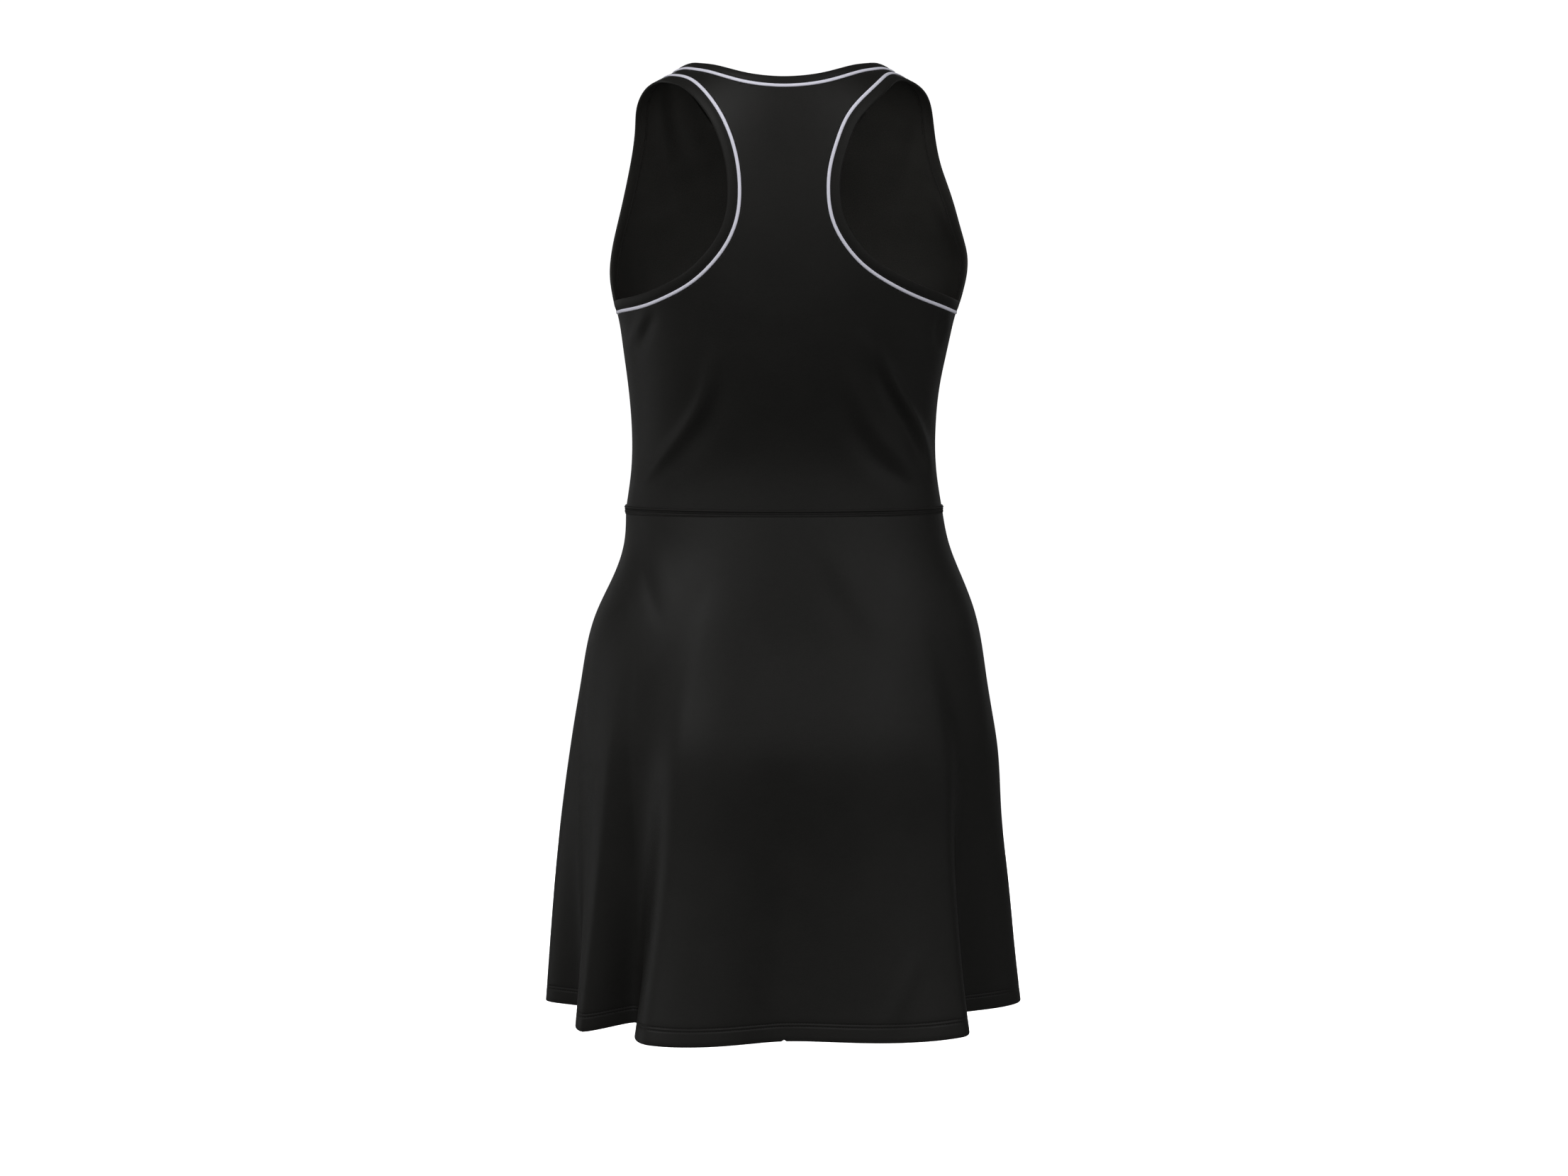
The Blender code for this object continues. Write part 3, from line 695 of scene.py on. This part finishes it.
def binding_edge(wide):
    """Cross-section of a binding folded over the edge, with a ditch where it is stitched."""
    near = PIPING_WIDE / 2
    far = near + SEAM_GAP + wide
    middle = (near + far) / 2
    return (
        (near - 0.1, 0.1), (near, 0.75), (near + 0.5, 0.98), (near + 1.15, 0.8),
        (near + 1.8, 1.12), (middle, 1.32), (far - 1.5, 1.26), (far - 0.6, 1.0), (far - 0.1, 0.5),
        (far, -0.1), (far - 0.3, -0.7), (far - 1.0, -1.12), (middle, -1.3), (near + 0.6, -1.32),
        (near - 0.2, -1.05), (near - 0.9, -1.3), (near - 1.9, -1.45), (near - 2.5, -1.15),
        (near - 2.4, -0.6), (near - 0.6, -0.4),
    )


def one_stitch():
    """The points and faces of one small rounded stitch, one unit long and wide."""
    made = bmesh.new()
    bmesh.ops.create_uvsphere(made, u_segments=6, v_segments=4, radius=0.5)
    made.verts.index_update()
    points = np.array([vertex.co[:] for vertex in made.verts])
    faces = [[vertex.index for vertex in item.verts] for item in made.faces]
    made.free()
    return points, faces


def sew(points, normal, pitch, long, thick, slant=0.0):
    """Where each stitch of a closed row lies: its middle and its three half axes."""
    points = np.concatenate([points, points[:1]])
    normal = np.concatenate([normal, normal[:1]])
    length = np.concatenate([[0], np.cumsum(np.linalg.norm(np.diff(points, axis=0), axis=1))])
    spots = np.arange(0.5, int(length[-1] / pitch)) * length[-1] / int(length[-1] / pitch)

    def at(places, values):
        return np.stack([np.interp(places, length, values[:, axis]) for axis in range(3)], 1)

    along = at(spots + 0.3 * pitch, points) - at(spots - 0.3 * pitch, points)
    along /= np.linalg.norm(along, axis=1, keepdims=True)
    out = at(spots, normal)
    out /= np.linalg.norm(out, axis=1, keepdims=True)
    turned = along * math.cos(slant) + np.cross(out, along) * math.sin(slant)
    axes = np.stack([np.cross(out, turned) * thick, out * thick * 0.85, turned * long], 1)
    return at(spots, points), axes


def sewn_piece(name, rows, material):
    """One piece of many stitches, from the rows that it is sewn in."""
    stitch, faces = one_stitch()
    middles, axes = (np.concatenate(part) for part in zip(*(sew(**row) for row in rows)))
    places = (middles[:, None] + stitch[None] @ axes).reshape(-1, 3) * MM
    count = len(stitch)
    mesh = bpy.data.meshes.new(name)
    mesh.from_pydata(places.tolist(), [], [[k * count + i for i in face]
                                           for k in range(len(middles)) for face in faces])
    made = bmesh.new()
    made.from_mesh(mesh)
    bpy.data.meshes.remove(mesh)
    for item in made.faces:
        item.smooth = True
    bmesh.ops.recalc_face_normals(made, faces=made.faces[:])
    return finish_piece(name, made, (material,))


# ---------------------------------------------------------------- materials

def new_node(tree, kind, **values):
    """A shader node with its settings, and its inputs by number or name."""
    made = tree.nodes.new("ShaderNode" + kind)
    for key, value in values.items():
        if key.startswith("in_"):
            socket = made.inputs[int(key[3:])] if key[3:].isdigit() else made.inputs[key[3:]]
            if isinstance(value, bpy.types.NodeSocket):
                tree.links.new(value, socket)
            else:
                socket.default_value = value
        else:
            setattr(made, key, value)
    return made


def sums(tree, operation, a, b=0.0, c=0.0):
    """One Math node's result."""
    return new_node(tree, "Math", operation=operation, in_0=a, in_1=b, in_2=c).outputs[0]


def new_group(name, inputs, outputs):
    """An empty node group with its sockets."""
    group = bpy.data.node_groups.new(name, "ShaderNodeTree")
    for socket, kind, value in inputs:
        made = group.interface.new_socket(socket, in_out="INPUT", socket_type="NodeSocket" + kind)
        if value is not None:
            made.default_value = value
    for socket, kind in outputs:
        group.interface.new_socket(socket, in_out="OUTPUT", socket_type="NodeSocket" + kind)
    return group, group.nodes.new("NodeGroupInput").outputs, group.nodes.new("NodeGroupOutput").inputs


def knit_group():
    """Fine interlock knit: columns of small loops, a little fuzz, and slow uneven dye, with painted
    shade: darker where the knit lies deep and lighter where it is raised.
    """
    group, given, out = new_group(
        "interlock knit",
        (("Flat", "Vector", None), ("Wales", "Float", 1500.0), ("Deep", "Color", None),
         ("Raised", "Color", None), ("Smooth", "Float", 0.5), ("Dull", "Float", 0.6)),
        (("Color", "Color"), ("Roughness", "Float"), ("Height", "Float")))
    split = new_node(group, "SeparateXYZ", in_0=given["Flat"]).outputs
    wale = sums(group, "MULTIPLY", split["X"], given["Wales"])
    course = sums(group, "MULTIPLY", split["Y"], given["Wales"])
    bow = sums(group, "PINGPONG", wale, 0.5)
    loop = sums(group, "SINE", sums(group, "MULTIPLY",
                                    sums(group, "ADD", course, bow), 2 * math.pi))
    rib = sums(group, "SINE", sums(group, "MULTIPLY", wale, 2 * math.pi))
    stitch = sums(group, "MULTIPLY_ADD", loop, 0.5, sums(group, "MULTIPLY", rib, 0.5))
    fuzz = new_node(group, "TexNoise", in_Vector=given["Flat"], in_Scale=900.0, in_Detail=3.0)
    dye = new_node(group, "TexNoise", in_Vector=given["Flat"], in_Scale=26.0, in_Detail=2.0)
    height = sums(group, "MULTIPLY_ADD", fuzz.outputs[0], 0.9, sums(group, "MULTIPLY", stitch, 0.35))
    group.links.new(height, out["Height"])
    # Painted shade: the fuzz and loops that raise the bump also lighten the colour, so deep parts are
    # painted darker and raised parts lighter, over the random dye tone.
    fuzz_shade = sums(group, "MULTIPLY_ADD", fuzz.outputs[0], 1.5, -0.5)
    tone = sums(group, "MULTIPLY_ADD", dye.outputs[0], 0.5,
                sums(group, "MULTIPLY_ADD", stitch, 0.08, fuzz_shade))
    mixed = new_node(group, "Mix", data_type="RGBA")
    group.links.new(tone, mixed.inputs[0])
    group.links.new(given["Deep"], mixed.inputs[6])
    group.links.new(given["Raised"], mixed.inputs[7])
    group.links.new(mixed.outputs[2], out["Color"])
    rough = new_node(group, "MapRange", in_0=tone, in_1=0.3, in_2=0.75, in_3=given["Smooth"],
                     in_4=given["Dull"])
    group.links.new(rough.outputs[0], out["Roughness"])
    return group


def shader_of(name, sheen=0.0, specular=0.5):
    """A material with its shader, its sheen and specular level set on the shader itself."""
    material = bpy.data.materials.new(name)
    material.use_nodes = True
    tree = material.node_tree
    shader = tree.nodes["Principled BSDF"]
    shader.inputs["Sheen Weight"].default_value = sheen
    shader.inputs["Sheen Roughness"].default_value = 0.45
    shader.inputs["Specular IOR Level"].default_value = specular
    return material, tree, shader


def use_group(tree, shader, group, bump, coords="UV", **values):
    """Places a group in a material and feeds its colour, roughness and bump to the shader."""
    placed = tree.nodes.new("ShaderNodeGroup")
    placed.node_tree = group
    where = new_node(tree, "TexCoord").outputs[coords]
    tree.links.new(where, placed.inputs[0])
    for key, value in values.items():
        placed.inputs[key].default_value = value
    tree.links.new(placed.outputs["Color"], shader.inputs["Base Color"])
    tree.links.new(placed.outputs["Roughness"], shader.inputs["Roughness"])
    raised = new_node(tree, "Bump", in_Strength=bump[0], in_Distance=bump[1],
                      in_Height=placed.outputs["Height"])
    tree.links.new(raised.outputs[0], shader.inputs["Normal"])
    return placed


KNIT = knit_group()


def jersey(name, deep, raised, wales=1500.0, smooth=0.46, dull=0.58, sheen=0.0, specular=0.15,
           bump=(0.35, 0.00012)):
    """Black interlock jersey, with the knit's painted shade between its deep and raised colours."""
    material, tree, shader = shader_of(name, sheen, specular)
    use_group(tree, shader, KNIT, bump, Wales=wales, Deep=(*deep, 1), Raised=(*raised, 1),
              Smooth=smooth, Dull=dull)
    return material


def satin_group():
    """Fine twill of the flat piping, with painted shade toward its stitched edge, where the seam
    ditch lies.
    """
    group, given, out = new_group(
        "piping twill",
        (("Flat", "Vector", None), ("Pale", "Color", None), ("Shade", "Color", None)),
        (("Color", "Color"), ("Roughness", "Float"), ("Height", "Float")))
    split = new_node(group, "SeparateXYZ", in_0=given["Flat"]).outputs
    slope = sums(group, "MULTIPLY", sums(group, "ADD", split["X"], split["Y"]), 2 * math.pi * 2200)
    ridge = sums(group, "SINE", slope)
    fuzz = new_node(group, "TexNoise", in_Vector=given["Flat"], in_Scale=1400.0, in_Detail=2.0)
    height = sums(group, "MULTIPLY_ADD", ridge, 0.4, fuzz.outputs[0])
    group.links.new(height, out["Height"])
    # Painted shade: the colour turns toward the dark violet shade near the stitched edge, for the
    # shadow in the seam ditch beside the binding.
    edge = new_node(group, "MapRange", in_0=split["Y"], in_1=0.0043, in_2=0.0051, in_3=0.0,
                    in_4=0.8).outputs[0]
    tone = sums(group, "MULTIPLY_ADD", fuzz.outputs[0], 0.16, edge)
    mixed = new_node(group, "Mix", data_type="RGBA", in_0=tone)
    group.links.new(given["Pale"], mixed.inputs[6])
    group.links.new(given["Shade"], mixed.inputs[7])
    group.links.new(mixed.outputs[2], out["Color"])
    group.links.new(sums(group, "MULTIPLY_ADD", fuzz.outputs[0], 0.2, 0.4), out["Roughness"])
    return group


def thread_group():
    """Twisted thread: fine slanting plies with a soft sheen, and painted shade: darker between the
    plies and lighter on their raised tops.
    """
    group, given, out = new_group(
        "twisted thread",
        (("Flat", "Vector", None), ("Deep", "Color", None), ("Raised", "Color", None)),
        (("Color", "Color"), ("Roughness", "Float"), ("Height", "Float")))
    split = new_node(group, "SeparateXYZ", in_0=given["Flat"]).outputs
    slope = sums(group, "ADD", sums(group, "MULTIPLY", split["Z"], 0.8),
                 sums(group, "ADD", split["X"], sums(group, "MULTIPLY", split["Y"], 0.6)))
    ply = sums(group, "SINE", sums(group, "MULTIPLY", slope, 2 * math.pi * 3200))
    fuzz = new_node(group, "TexNoise", in_Vector=given["Flat"], in_Scale=700.0, in_Detail=2.0)
    group.links.new(sums(group, "MULTIPLY_ADD", ply, 0.4, fuzz.outputs[0]), out["Height"])
    # Painted shade: the colour follows the plies and fuzz that raise the bump, darker between the
    # plies and lighter on their tops.
    tone = sums(group, "MULTIPLY_ADD", ply, 0.15, fuzz.outputs[0])
    mixed = new_node(group, "Mix", data_type="RGBA", in_0=tone)
    group.links.new(given["Deep"], mixed.inputs[6])
    group.links.new(given["Raised"], mixed.inputs[7])
    group.links.new(mixed.outputs[2], out["Color"])
    group.links.new(sums(group, "MULTIPLY_ADD", fuzz.outputs[0], 0.2, 0.38), out["Roughness"])
    return group


OUTSIDE = jersey("black jersey", (0.0042, 0.0041, 0.0037), (0.0097, 0.0093, 0.0083))
# The inner face: duller than the outside, with its colour painted about three times lighter, as
# painted light for the shaded inside seen through the neck and armholes.
INSIDE_PAINTED_LIGHTER = jersey("black jersey inside painted lighter", (0.0160, 0.0155, 0.0142), (0.0330, 0.0319, 0.0294),
                smooth=0.55, dull=0.68, specular=0.1)
# The bindings and the waist band: a finer knit of the same jersey, its colour painted about a quarter
# lighter than the cloth, as painted light on their raised, rolled edges.
FOLDED_PAINTED_LIGHTER = jersey("folded jersey binding painted lighter", (0.0052, 0.0050, 0.0046), (0.0118, 0.0114, 0.0103),
                wales=1700.0, specular=0.12, bump=(0.45, 0.00012))

PIPING, piping_tree, piping_shader = shader_of("pale piping", 0.1, 0.3)
use_group(piping_tree, piping_shader, satin_group(), (0.3, 0.0001),
          Pale=(0.68, 0.68, 0.76, 1), Shade=(0.24, 0.2, 0.36, 1))
THREAD, thread_tree, thread_shader = shader_of("black thread", 0.0, 0.2)
use_group(thread_tree, thread_shader, thread_group(), (0.4, 0.0001), coords="Object",
          Deep=(0.004, 0.004, 0.004, 1), Raised=(0.014, 0.0136, 0.0126, 1))


# ---------------------------------------------------------------- cloth, trims and sewing

def make_dress():
    """All the pieces, from the seam lines outward."""
    neck = even(*seam_line(neck_seam(), True), STRIP_STEP)
    arms = {side: even(*seam_line(arm_seam(side), True), STRIP_STEP) for side in (-1, 1)}
    seams = {"neck": (neck, -1, NECK_BINDING_WIDE), "left_arm": (arms[-1], 1, ARM_BINDING_WIDE),
             "right_arm": (arms[1], -1, ARM_BINDING_WIDE)}
    under = {key: moved(*line, toward, -0.8) for key, (line, toward, _) in seams.items()}
    lines = [under["left_arm"], under["neck"], under["right_arm"]]

    cloths = {
        "back_bodice": bodice_cloth("cloth_back_bodice", -1, lines, "back_bodice",
                                    (OUTSIDE, INSIDE_PAINTED_LIGHTER)),
        "front_bodice": bodice_cloth("cloth_front_bodice", 1, lines, "front_bodice",
                                     (OUTSIDE, INSIDE_PAINTED_LIGHTER)),
        "back_skirt": skirt_cloth("cloth_back_skirt", 0, "back_skirt", (OUTSIDE, INSIDE_PAINTED_LIGHTER)),
        "front_skirt": skirt_cloth("cloth_front_skirt", 180, "front_skirt", (OUTSIDE, INSIDE_PAINTED_LIGHTER)),
    }

    trims, rows = [], {}
    for key, (line, toward, wide) in seams.items():
        points, normal, way = seam_frame(*line, toward)
        trims.append(strip(key + "_flat_piping", points, normal, way, PIPING_EDGE,
                           (PIPING,), (key + "_piping",)))
        trims.append(strip(key + "_folded_binding", points, normal, way, binding_edge(wide),
                           (FOLDED_PAINTED_LIGHTER, INSIDE_PAINTED_LIGHTER), (key + "_binding",)))
        near = PIPING_WIDE / 2
        rows[key] = (
            dict(points=points + way * (near + 1.15) + normal * 0.92, normal=normal,
                 pitch=2.1, long=1.5, thick=0.5),
            dict(points=points + way * (near - 1.4) - normal * 1.5, normal=-normal,
                 pitch=2.4, long=1.7, thick=0.5))
    for key in rows:
        trims.append(sewn_piece(key + "_stitches", rows[key], THREAD))

    turns = np.linspace(-90, 90, 181)[:-1]
    back, back_out = bodice(turns, np.zeros_like(turns))
    front, front_out = bodice(-turns, np.full_like(turns, 2 * CREST))
    points, normal = np.concatenate([back, front]), np.concatenate([back_out, front_out])
    normal[:, 2] = 0
    normal /= np.linalg.norm(normal, axis=1, keepdims=True)
    up = np.tile((0.0, 0.0, 1.0), (len(points), 1))
    waist = strip("waist_flatlock_band", points, normal, up, WAIST_EDGE, (FOLDED_PAINTED_LIGHTER,),
                  ("waist_seam",))
    waist_rows = [
        dict(points=points + up * height + normal * out, normal=normal, pitch=pitch, long=long,
             thick=thick, slant=slant)
        for height, out, pitch, long, thick, slant in (
            (0.55, 1.35, 1.7, 2.3, 0.62, 0.75), (-1.5, 1.4, 1.7, 2.3, 0.62, -0.75),
            (3.45, 1.0, 1.9, 1.0, 0.6, 1.5), (-3.35, 0.95, 1.9, 1.1, 0.6, 1.5))]
    waist_rows.append(dict(points=points + up * 1.6 - normal * 1.2, normal=-normal, pitch=2.2,
                           long=2.4, thick=0.6, slant=0.7))
    trims.append(waist)
    trims.append(sewn_piece("waist_flatlock_stitches", waist_rows, THREAD))

    hem_rows = []
    for height in HEM_ROWS:
        turn = np.linspace(-180, 180, 721)[:-1]
        points, normal = skirt(turn, np.full_like(turn, HEM_Z + height))
        hem_rows.append(dict(points=points + normal * (CLOTH / 2 - 0.25), normal=normal,
                             pitch=2.6, long=1.7, thick=0.5))
    trims.append(sewn_piece("hem_twin_stitches", hem_rows, THREAD))
    return cloths, trims


cloths, trims = make_dress()
named = {piece.name: piece for piece in trims}


# ---------------------------------------------------------------- studio and camera

FLOOR_Z = -1.25
AIM = Vector((0.0, 0.0, -0.456))
CAMERA_FAR = 3.0
CAMERA_RAISED = math.radians(4.7)
CAMERA_LENS = 76.75


def make_stage():
    """A pale floor that curves up into a backdrop all round."""
    made = bmesh.new()
    bow = [(6 + 2.5 * math.sin(a), 2.5 - 2.5 * math.cos(a)) for a in np.radians(range(0, 91, 10))]
    line = [(0.0, 0.0), (3.0, 0.0)] + bow + [(8.5, 9.0)]
    verts = [made.verts.new((x, 0, FLOOR_Z + z)) for x, z in line]
    edges = [made.edges.new(pair) for pair in zip(verts, verts[1:])]
    bmesh.ops.spin(made, geom=verts + edges, cent=(0, 0, 0), axis=(0, 0, 1),
                   angle=2 * math.pi, steps=72, use_merge=True)
    bmesh.ops.remove_doubles(made, verts=made.verts[:], dist=0.0001)
    bmesh.ops.recalc_face_normals(made, faces=made.faces[:])
    for item in made.faces:
        item.smooth = True
    mesh = bpy.data.meshes.new("pale_floor")
    made.to_mesh(mesh)
    made.free()
    material, tree, shader = shader_of("pale floor")
    shader.inputs["Roughness"].default_value = 0.9
    grain = new_node(tree, "TexNoise", in_Vector=new_node(tree, "TexCoord").outputs["Object"],
                     in_Scale=3.0, in_Detail=2.0)
    shade = new_node(tree, "Mix", data_type="RGBA", in_0=grain.outputs[0])
    shade.inputs[6].default_value = (0.90, 0.90, 0.90, 1)
    shade.inputs[7].default_value = (0.93, 0.93, 0.93, 1)
    shader.inputs["Emission Color"].default_value = (1, 1, 1, 1)
    seen = new_node(tree, "LightPath").outputs["Is Camera Ray"]
    glow = new_node(tree, "MapRange", in_0=seen, in_3=0.0, in_4=0.9)
    plain = new_node(tree, "Mix", data_type="RGBA", in_0=seen)
    plain.inputs[6].default_value = (0.25, 0.25, 0.25, 1)
    tree.links.new(shade.outputs[2], plain.inputs[7])
    tree.links.new(plain.outputs[2], shader.inputs["Base Color"])
    tree.links.new(glow.outputs[0], shader.inputs["Emission Strength"])
    mesh.materials.append(material)
    floor = bpy.data.objects.new("pale_floor", mesh)
    bpy.context.collection.objects.link(floor)


def softbox(name, place, power, size):
    """A large soft light aimed at the dress."""
    light = bpy.data.lights.new(name, "AREA")
    light.shape = "RECTANGLE"
    light.size, light.size_y = size
    light.energy = power
    lamp = bpy.data.objects.new(name, light)
    lamp.location = place
    lamp.visible_camera = False
    lamp.rotation_euler = (AIM - Vector(place)).to_track_quat("-Z", "Y").to_euler()
    bpy.context.collection.objects.link(lamp)


def make_studio():
    """Floor, lights and camera."""
    make_stage()
    softbox("key_softbox", (-2.5, -2.0, 2.1), 90, (2.2, 1.8))
    softbox("fill_softbox", (2.3, -2.1, 1.9), 49, (2.2, 1.8))
    softbox("front_softbox", (0.1, -2.5, 0.2), 15, (3.8, 1.5))
    softbox("top_softbox", (0.0, -1.1, 2.7), 8, (2.4, 1.6))
    softbox("left_softbox", (-2.9, 0.4, -0.8), 13, (1.6, 1.6))
    softbox("right_softbox", (3.0, -0.6, -0.3), 6, (1.2, 2.0))
    softbox("rear_left_softbox", (-2.4, 3.0, 0.3), 6, (2.0, 2.2))
    softbox("rear_right_softbox", (2.4, 3.0, 0.3), 4, (2.0, 2.2))
    softbox("rear_softbox", (0.0, 3.6, 0.0), 34, (1.2, 2.0))
    world = bpy.context.scene.world or bpy.data.worlds.new("studio")
    bpy.context.scene.world = world
    world.use_nodes = True
    world.node_tree.nodes["Background"].inputs[0].default_value = (1, 1, 1, 1)
    world.node_tree.nodes["Background"].inputs[1].default_value = 0.15
    view = bpy.data.cameras.new("photo_camera")
    view.lens = CAMERA_LENS
    view.sensor_width = 36.0
    view.clip_end = 60.0
    camera = bpy.data.objects.new("photo_camera", view)
    back = Vector((0, -math.cos(CAMERA_RAISED), math.sin(CAMERA_RAISED)))
    camera.location = AIM + back * CAMERA_FAR
    camera.rotation_euler = (math.pi / 2 - CAMERA_RAISED, 0, 0)
    bpy.context.collection.objects.link(camera)
    bpy.context.scene.camera = camera
    bpy.context.scene.view_settings.view_transform = "Standard"


make_studio()
